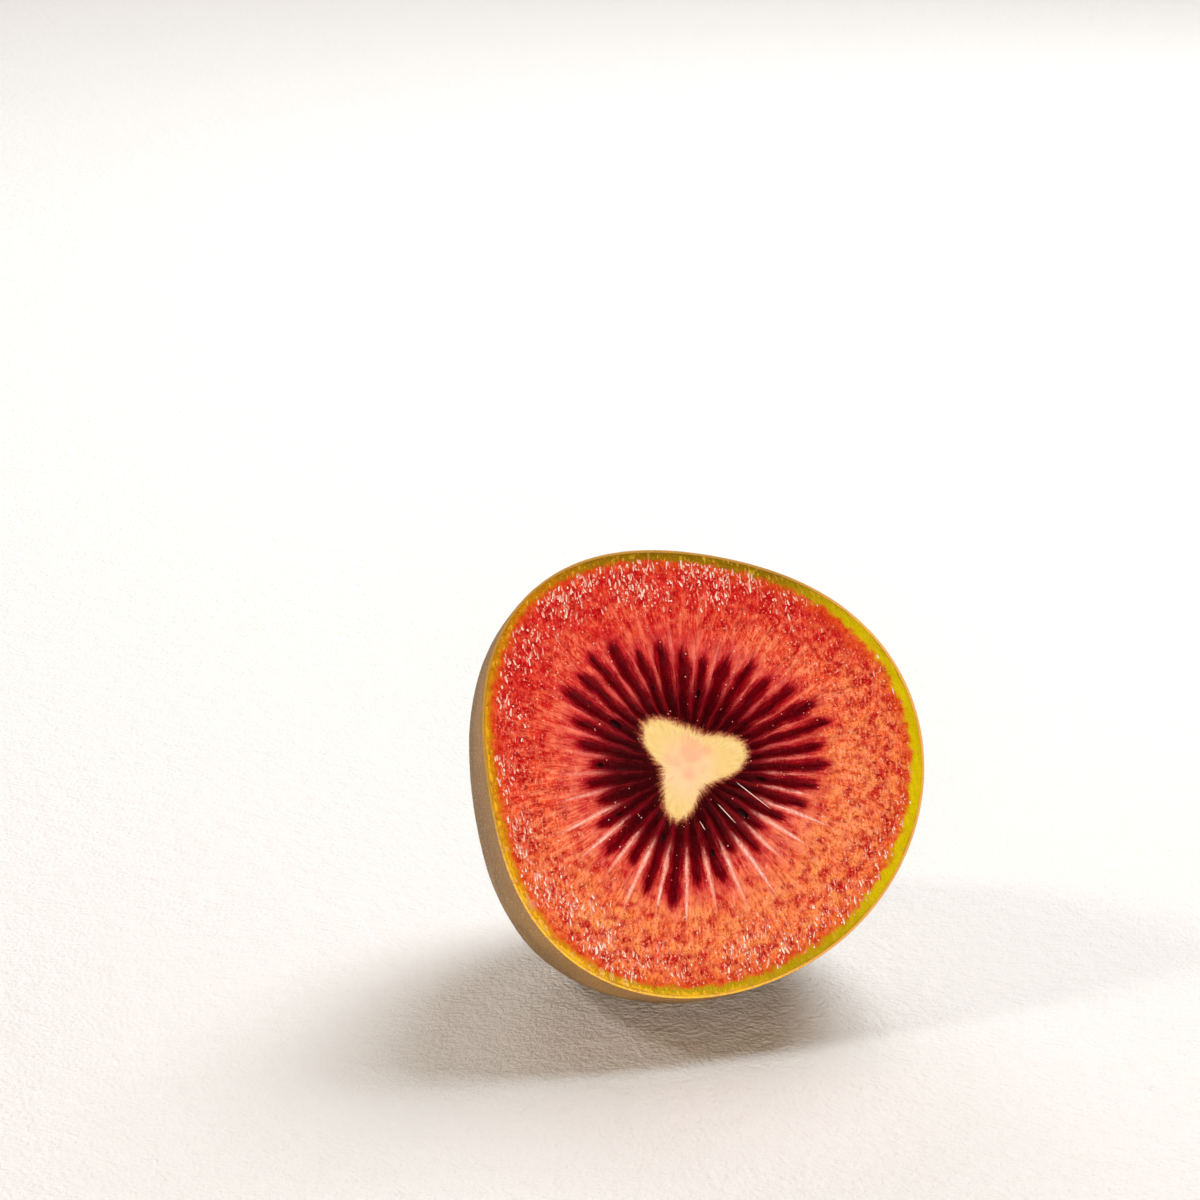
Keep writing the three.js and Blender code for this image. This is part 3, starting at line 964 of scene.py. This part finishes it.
peel = {
    "columns": 480,
    "outerRows": 176,
    "outerFrom": 0.006,  # shares of the depth
    "outerSpan": 0.992,
    "outerCrowding": 1.15,  # above 1, rows lie closer together near the cut
    "innerRows": 8,
    "innerFrom": 0.02,
    "innerTo": 0.985,
    "innerCrowding": 0.8,
    "thickness": 0.3,
    "edgeRound": 0.1,
    "edgeBelow": (0.03, 0.04, 0.12),  # the cut edge's depth at its outer, middle and inner corners
    "dent": (0.14, 7.0, 21),  # height, size and seed of some bumps
    "dentFrom": 0.12,  # share of the depth below which they fade
    "pimple": (0.022, 0.5, 22),
    "pimpleFrom": 0.02,
    "innerLowest": 0.3,  # above the table
}


def outerPeel():
    # the fruit's side with broad dents and fine pimples, both gone at the cut
    angle = wayRound(peel["columns"])
    steps = np.linspace(0, 1, peel["outerRows"])[:, None] ** peel["outerCrowding"]
    t = peel["outerFrom"] + peel["outerSpan"] * steps
    points = sidePoints(t, angle)
    down = np.gradient(points, axis=0)
    across = np.roll(points, -1, 1) - np.roll(points, 1, 1)
    normal = np.cross(across, down)
    normal /= np.maximum(np.linalg.norm(normal, axis=-1, keepdims=True), 1e-9)
    raised = bumps(points, peel["dent"]) * smooth(t, 0.0, peel["dentFrom"])
    raised = raised + bumps(points, peel["pimple"]) * smooth(t, 0.0, peel["pimpleFrom"])
    return points + normal * raised[..., None], normal


def makePeel():
    # from the stem end up the outside, over the rounded cut edge, and down the inside
    outer, normal = outerPeel()
    columns = peel["columns"]
    angle = wayRound(columns)
    rim = rimRadius(angle)
    corner = 0.3 * peel["edgeRound"]
    outerBelow, middleBelow, innerBelow = peel["edgeBelow"]
    edge = np.concatenate([onCircle(rim - inset, angle, -below) for inset, below in (
        (corner, corner + outerBelow),
        (peel["edgeRound"], outerBelow),
        (peel["thickness"] - corner, middleBelow),
        (peel["thickness"], innerBelow),
    )])
    t = np.linspace(peel["innerFrom"], peel["innerTo"], peel["innerRows"])[:, None] ** peel["innerCrowding"]
    inner = sidePoints(t, angle, peel["thickness"])
    rings = np.concatenate([outer[::-1], edge, inner])
    start = np.array([[axisX, axisY, -fruit["depth"]]])
    end = start + (0, 0, peel["thickness"])
    points = np.concatenate([start, rings.reshape(-1, 3), end])
    faces = outward(points, ringFaces(len(rings), columns))
    placed = setDown(points)
    inside = np.arange(len(points)) > (len(outer) + len(edge)) * columns
    placed[inside, 2] = np.maximum(placed[inside, 2], peel["innerLowest"] / 1000)
    extras = {"fruitPlace": points, "toCut": -points[:, 2]}
    piece = meshPiece("peel", placed, faces, peelMaterial(peelLook), extras)
    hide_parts("kiwi_half")
    return outer, normal


# Seeds, stem scar and sepals

def spun(angle):
    # the turn about z that rows of points are multiplied by
    cosine, sine = math.cos(angle), math.sin(angle)
    return np.array([[cosine, sine, 0], [-sine, cosine, 0], [0, 0, 1]])


seeds = {
    "count": 11,
    "length": 2.1,
    "width": 1.25,
    "thick": 0.9,
    "taper": 0.5,
    "nearest": 7.9,
    "farthest": 10.2,
    "depth": 0.66,
    "swing": 0.25,
    "rows": 14,
    "columns": 24,
}


def makeSeeds():
    # each seed is a drop: a ball whose width tapers towards one end, laid along its ray
    size = np.array([seeds["length"], seeds["width"], seeds["thick"]])
    drop = ballOf(seeds["rows"], seeds["columns"]) * size / 2
    drop[:, 1:] *= 1 - seeds["taper"] * drop[:, :1] / seeds["length"]
    places, faces = [], []
    for k in range(seeds["count"]):
        ray = math.floor((k + 0.2 + 0.6 * draw(k, 2)) / seeds["count"] * fruit["rays"])
        angle = angleAt((ray + 0.5) / fruit["rays"])
        reach = seeds["nearest"] + (seeds["farthest"] - seeds["nearest"]) * draw(k, 3)
        turned = drop @ spun(angle + seeds["swing"] * (draw(k, 8) - 0.5))
        places.append(turned + (reach * math.cos(angle), reach * math.sin(angle), -seeds["depth"]))
        faces.append(ringFaces(seeds["rows"], seeds["columns"], k * len(drop)))
    points = np.concatenate(places)
    joined = [np.concatenate([part[n] for part in faces]) for n in range(3)]
    extras = {"fruitPlace": points}
    meshPiece("seeds", setDown(points), outward(points, joined), seedMaterial(), extras)


scar = {
    "radius": 4.7,
    "wobble": [(5, 0.06, 0), (3, 0.04, -19.1)],  # lobes, height, where highest
    "proud": 1.3,
    "lipFrom": 0.8,  # shares of the way from the middle to the foot
    "lipFalls": (0.72, 0.97),
    "groovesOver": (0.2, 0.8),
    "smoothFrom": 0.9,
    "overhang": 0.05,
    "footSunk": 0.6,
    "pitRadius": 2.1,
    "pitDepth": 0.9,
    "creases": ((0.16, 1.1, 31), (0.08, 0.4, 32)),  # height, size and seed of some bumps
    "grooves": (0.1, 11),  # how deep, and how many in half a turn
    "strayed": (3, 2.0, 33),  # how far a groove strays aside: height, size and seed of some bumps
    "under": 1.0,
    "rows": 64,
    "columns": 200,
}


def makeScar():
    # a low button: flat top with a pit, an overhanging wrinkled rim, and a sunk foot
    angle = wayRound(scar["columns"])
    s = np.linspace(0, 1, scar["rows"] + 1)[1:, None]
    lipFrom = scar["lipFrom"]
    bulge = 1 + scar["overhang"] * np.sin((s - lipFrom) / (1 - lipFrom) * math.pi)
    radius = scar["radius"] * swelled(1, scar["wobble"], angle) * np.where(s < lipFrom, s / lipFrom, bulge)
    foot = scar["footSunk"] * smooth(s, scar["lipFalls"][1], 1)
    lip = scar["proud"] * (1 - smooth(s, *scar["lipFalls"])) - foot
    pit = scar["pitDepth"] * (1 - smooth(radius, 0.5 * scar["pitRadius"], 1.2 * scar["pitRadius"]))
    flat = onCircle(radius, angle)
    groove, count = scar["grooves"]
    grooves = groove * np.abs(np.sin(count * angle + bumps(flat, scar["strayed"])))
    creases = sum(bumps(flat, settings) for settings in scar["creases"])
    creases = creases + grooves * smooth(s, *scar["groovesOver"])
    z = -fruit["depth"] - lip + pit + creases * (1 - smooth(s, scar["smoothFrom"], 1))
    rings = np.stack([axisX + flat[..., 0], axisY + flat[..., 1], z], -1)
    top = np.array([[axisX, axisY, z[0].mean()]])
    under = np.array([[axisX, axisY, -fruit["depth"] + scar["under"]]])
    points = np.concatenate([top, rings.reshape(-1, 3), under])
    faces = outward(points, ringFaces(len(rings), scar["columns"]))
    bark = barkMaterial("stemScar", tint(96, 64, 46), tint(182, 148, 126), tint(132, 118, 50), 1.0)
    meshPiece("stemScar", setDown(points), faces, bark, {"fruitPlace": points})


sepals = {
    "count": 5,
    "root": 3.2,
    "rootRise": 0.35,
    "length": 3.8,
    "width": 5.6,
    "rootWidth": 0.6,  # share of the width, which is full at the same share of the length
    "roundEnd": (0.28, 0.9),  # share of the length that is rounded, and how much of a half circle it spans
    "thick": 0.22,
    "ragged": (0.16, 0.5, 41),  # height, in shares of the length, size and seed of some bumps
    "wave": 0.14,
    "crinkle": (0.1, 0.8, 42),
    "curl": (0.5, 0.7),  # the least, and what a draw adds
    "droop": 0.45,
    "rows": 26,
    "columns": 30,
}


def makeSepals():
    # a dried flap on a grid: it widens from its root, its edge is ragged, and its tip curls up
    across = np.linspace(-1, 1, sepals["columns"])[None, :]
    along = np.linspace(0, 1, sepals["rows"])[:, None]
    leastCurl, moreCurl = sepals["curl"]
    rounded, span = sepals["roundEnd"]
    rootWidth = sepals["rootWidth"]
    places, faces = [], []
    for k in range(sepals["count"]):
        border = np.stack([across[0] * 3 + 7 * k, 0 * across[0], 0 * across[0]], -1)
        ragged = 1 + bumps(border, sepals["ragged"])
        reach = sepals["length"] * (1 - rounded + rounded * np.sqrt(1 - (span * across) ** 2)) * ragged
        half = sepals["width"] / 2 * (rootWidth + (1 - rootWidth) * smooth(along, 0, rootWidth))
        x = across * half
        y = sepals["root"] + reach * along
        crinkle = bumps(np.stack([x, y, 0 * x + k], -1), sepals["crinkle"])
        wrinkle = sepals["wave"] * np.sin(9 * across + 2 * k) * along + crinkle
        curl = (leastCurl + moreCurl * draw(k, 9)) * along ** 3 - sepals["droop"] * along
        upper = np.stack([x, y, -fruit["depth"] - sepals["rootRise"] - curl - wrinkle], -1)
        lower = upper + (0, 0, sepals["thick"])
        flap = np.concatenate([upper.reshape(-1, 3), lower.reshape(-1, 3)])
        turned = flap @ spun(((k + 0.3 * draw(k, 5)) / sepals["count"]) * turn) + (axisX, axisY, 0)
        faces.append(slabFaces(sepals["rows"], sepals["columns"]) + k * len(turned))
        places.append(turned)
    points = np.concatenate(places)
    bark = barkMaterial("driedSepal", tint(92, 48, 22), tint(178, 118, 66), tint(120, 90, 40), 1.3)
    faces = outward(points, [np.concatenate(faces)])
    meshPiece("sepals", setDown(points), faces, bark, {"fruitPlace": points})


def slabFaces(rows, columns):
    # a closed slab of two layers of a grid: both layers, then a wall round their shared border
    row, column = np.meshgrid(np.arange(rows - 1), np.arange(columns - 1), indexing="ij")
    corner = (row * columns + column).ravel()
    upper = np.stack([corner, corner + 1, corner + columns + 1, corner + columns], -1)
    lower = upper[:, ::-1] + rows * columns
    top = np.arange(columns)
    side = np.arange(rows) * columns
    border = np.concatenate([top, side[1:] + columns - 1, (rows - 1) * columns + top[-2::-1], side[-2:0:-1]])
    following = np.roll(border, -1)
    wall = np.stack([border, border + rows * columns, following + rows * columns, following], -1)
    return np.concatenate([upper, lower, wall])


# Fuzz

fuzz = {
    "count": 44000,
    "length": 0.34,
    "least": 0.45,  # share of the length that every hair has
    "longer": ((0.9, 1), (1.3, 10)),  # what a draw from 0 to 1 adds: the most, and the power of the draw
    "thick": 0.034,
    "lean": 0.9,  # aside, for each millimetre outwards
    "seed": 5,
    "finish": ("peelFuzz", tint(92, 62, 26), tint(252, 212, 150)),  # name, and colours of root and tip
}
stemFuzz = {
    "count": 2600,
    "length": 0.95,
    "least": 0.4,
    "longer": ((1, 1),),
    "thick": 0.045,
    "lean": 1.5,
    "reach": 9.5,  # from the stem's axis
    "below": -25.0,
    "seed": 6,
    "finish": ("stemFuzz", tint(104, 58, 26), tint(206, 150, 88)),
}
edgeFuzz = {
    "count": 1500,
    "length": 0.75,
    "least": 0.35,
    "longer": ((0.9, 2),),
    "thick": 0.04,
    "lean": 0.8,
    "reach": 0.7,  # below the cut
    "seed": 8,
    "finish": ("edgeFuzz", tint(176, 140, 84), tint(240, 222, 184)),
}
rootDepth = 0.03  # of every hair, in the peel
hairFreeBelow = 0.12  # above the table
leastShade = 0.15  # of a hair's tip, from the root's colour at 0 to the tip's at 1


def needles(name, hairs, roots, normals, lengths, rng):
    # each hair is a closed spike: three corners round its root and one at its tip
    random = rng.normal(size=roots.shape)
    aside = random - normals * np.sum(random * normals, -1, keepdims=True)
    aside /= np.linalg.norm(aside, axis=-1, keepdims=True)
    other = np.cross(normals, aside)
    tips = roots + normals * lengths[:, None] + aside * (hairs["lean"] * lengths)[:, None]
    sunk = roots - normals * rootDepth
    corners = []
    for k in range(3):
        swing = turn * k / 3
        corners.append(sunk + (aside * math.cos(swing) + other * math.sin(swing)) * hairs["thick"] / 2)
    points = np.stack([*corners, tips], 1).reshape(-1, 3)
    first = np.arange(len(roots))[:, None] * 4
    faces = np.concatenate([first + np.array(f) for f in ((0, 1, 3), (1, 2, 3), (2, 0, 3), (0, 2, 1))])
    shade = leastShade + (1 - leastShade) * rng.random((len(roots), 1))
    along = (np.array([0.0, 0.0, 0.0, 1.0]) * shade).ravel()
    material = hairMaterial(*hairs["finish"])
    extras = {"along": along}
    meshPiece(name, setDown(points, 0.01), outward(points, [faces]), material, extras, False)


def hairRoots(outer, normal, rng, count, keep):
    # random spots on the outer peel's grid, as many to each square millimetre, where keep allows them
    across = np.linalg.norm(np.roll(outer, -1, 1) - outer, axis=-1)
    down = np.linalg.norm(np.gradient(outer, axis=0), axis=-1)
    weight = (across * down * keep(outer)).ravel()
    chosen = rng.choice(weight.size, count, p=weight / weight.sum())
    row, column = np.unravel_index(chosen, outer.shape[:2])
    nextRow = np.minimum(row + 1, outer.shape[0] - 1)
    nextColumn = (column + 1) % outer.shape[1]
    a, b = rng.random((2, count, 1))
    roots = (outer[row, column] * (1 - a) * (1 - b) + outer[nextRow, column] * a * (1 - b)
             + outer[row, nextColumn] * (1 - a) * b + outer[nextRow, nextColumn] * a * b)
    return roots, normal[row, column]


def aboveGround(points):
    # true for spots clear of the table
    return (leaned(points) + shift)[..., 2] > hairFreeBelow


def nearStem(points):
    # 1 at the stem's axis, falling off like a bell, and 0 up the side
    away = np.hypot(points[..., 0] - axisX, points[..., 1] - axisY)
    bell = np.exp(-(away / stemFuzz["reach"] * 1.6) ** 2)
    return aboveGround(points) * (points[..., 2] < stemFuzz["below"]) * bell


def nearCut(points):
    # 1 at the cut, falling off below it
    return aboveGround(points) * np.exp(points[..., 2] / edgeFuzz["reach"])


def makeFuzz(outer, normal):
    # three coats: short hairs all over with a few long ones, long ones round the scar, and down at the cut
    coats = (
        ("fuzz", fuzz, aboveGround, "skin"),
        ("stemFuzz", stemFuzz, nearStem, "stem_scar"),
        ("edgeFuzz", edgeFuzz, nearCut, "skin"),
    )
    for name, hairs, keep, slot in coats:
        rng = np.random.default_rng(hairs["seed"])
        count = hairs["count"]
        roots, normals = hairRoots(outer, normal, rng, count, keep)
        share = hairs["least"] + sum(most * rng.random(count) ** power for most, power in hairs["longer"])
        needles(name, hairs, roots, normals, hairs["length"] * share, rng)


makeFlesh()
makeBeads()
outerGrid, outerNormals = makePeel()
makeSeeds()
makeScar()
makeSepals()
makeFuzz(outerGrid, outerNormals)

# Floor, lights and camera

studio = {
    "floor": tint(246, 246, 246),
    "floorSize": 4.0,
    "floorGrain": ((1700, 3, 0.65), (420, 2, 0.5)),  # two noises: lumps to each metre, octaves, roughness
    "world": (0.17, 0.118, 0.068),
    "aim": (0, 0, 0.022),  # where a light points, unless it says otherwise
    "lights": {
        "key": {"at": (0.42, 0.38, 0.68), "size": 0.56, "power": 7.6, "colour": (0.95, 0.98, 1.0)},
        "fill": {"at": (-0.3, -0.9, 0.16), "size": 0.5, "power": 8.3, "colour": (1.0, 0.87, 0.75)},
        "side": {"at": (-0.62, 0.12, 0.6), "size": 0.16, "power": 1.5, "colour": (1.0, 0.97, 0.93)},
        "backdrop": {
            "at": (0.0, 1.9, 1.1),
            "size": 1.2,
            "power": 16.0,
            "colour": (0.97, 0.98, 1.0),
            "aim": (0.0, 1.9, 0.0),
        },
    },
}
cameraView = {
    "imageSize": 1200,
    "corePixel": (687, 769),  # where the middle of the core falls in the picture
    "azimuth": -16.0,  # of the way from the core to the camera
    "elevation": 21.0,
    "distance": 0.366,
    "lens": 100.0,
    "sensor": 36.0,
    "clip": (0.01, 20.0),
}


def makeFloor():
    # a square sheet at z = 0 with a fine grain
    half = studio["floorSize"] / 2
    f = Finish("studioFloor")
    ground = f.node("TexCoord", output=3)
    coarse, fine = (f.noise(ground, *settings) for settings in studio["floorGrain"])
    floorLook = f.close({"Base Color": studio["floor"], "Roughness": 0.5}, coarse + fine, 1.0, 0.0004)
    corners = [(-half, -half, 0), (half, -half, 0), (half, half, 0), (-half, half, 0)]
    mesh = bpy.data.meshes.new("floor")
    mesh.from_pydata(corners, [], [(0, 1, 2, 3)])
    mesh.materials.append(floorLook)
    floor = bpy.data.objects.new("floor", mesh)
    bpy.context.scene.collection.objects.link(floor)


def makeLight(name, light):
    # a round area light that points from its place to its aim
    lamp = bpy.data.lights.new(name, "AREA")
    lamp.shape = "DISK"
    lamp.size = light["size"]
    lamp.energy = light["power"]
    lamp.color = light["colour"]
    holder = bpy.data.objects.new(name, lamp)
    bpy.context.scene.collection.objects.link(holder)
    at = np.array(light["at"])
    aim = np.array(light.get("aim", studio["aim"])) - at
    holder.location = at
    holder.rotation_euler = (math.atan2(math.hypot(aim[0], aim[1]), -aim[2]), 0, math.atan2(-aim[0], aim[1]))


def makeWorld():
    # a dim warm light from all sides
    world = bpy.data.worlds.new("studio")
    world.use_nodes = True
    background = world.node_tree.nodes["Background"]
    background.inputs["Color"].default_value = (*studio["world"], 1)
    bpy.context.scene.world = world


def makeCamera():
    # the core's middle is seen from the given direction and falls on its pixel, with no roll and no shift
    view = cameraView
    azimuth, elevation = math.radians(view["azimuth"]), math.radians(view["elevation"])
    back = np.array([
        math.sin(azimuth) * math.cos(elevation),
        -math.cos(azimuth) * math.cos(elevation),
        math.sin(elevation),
    ])
    core = setDown(np.zeros((1, 3)))[0]
    focal = view["lens"] / view["sensor"] * view["imageSize"]
    right = view["corePixel"][0] - view["imageSize"] / 2
    below = view["corePixel"][1] - view["imageSize"] / 2
    length = math.sqrt(right ** 2 + below ** 2 + focal ** 2)
    pitch = math.asin(math.sin(elevation) * length / math.hypot(below, focal)) - math.atan2(below, focal)
    forward = focal * math.cos(pitch) - below * math.sin(pitch)
    yaw = azimuth + math.atan2(right, forward)
    lens = bpy.data.cameras.new("camera")
    lens.lens = view["lens"]
    lens.sensor_width = view["sensor"]
    lens.clip_start, lens.clip_end = view["clip"]
    camera = bpy.data.objects.new("camera", lens)
    bpy.context.scene.collection.objects.link(camera)
    camera.location = core + back * view["distance"]
    camera.rotation_euler = (math.pi / 2 - pitch, 0, yaw)
    bpy.context.scene.camera = camera


makeFloor()
makeWorld()
for lightName, lightSettings in studio["lights"].items():
    makeLight(lightName, lightSettings)
makeCamera()
bpy.context.scene.view_settings.view_transform = "Standard"
print("stage: floor, lights and camera")
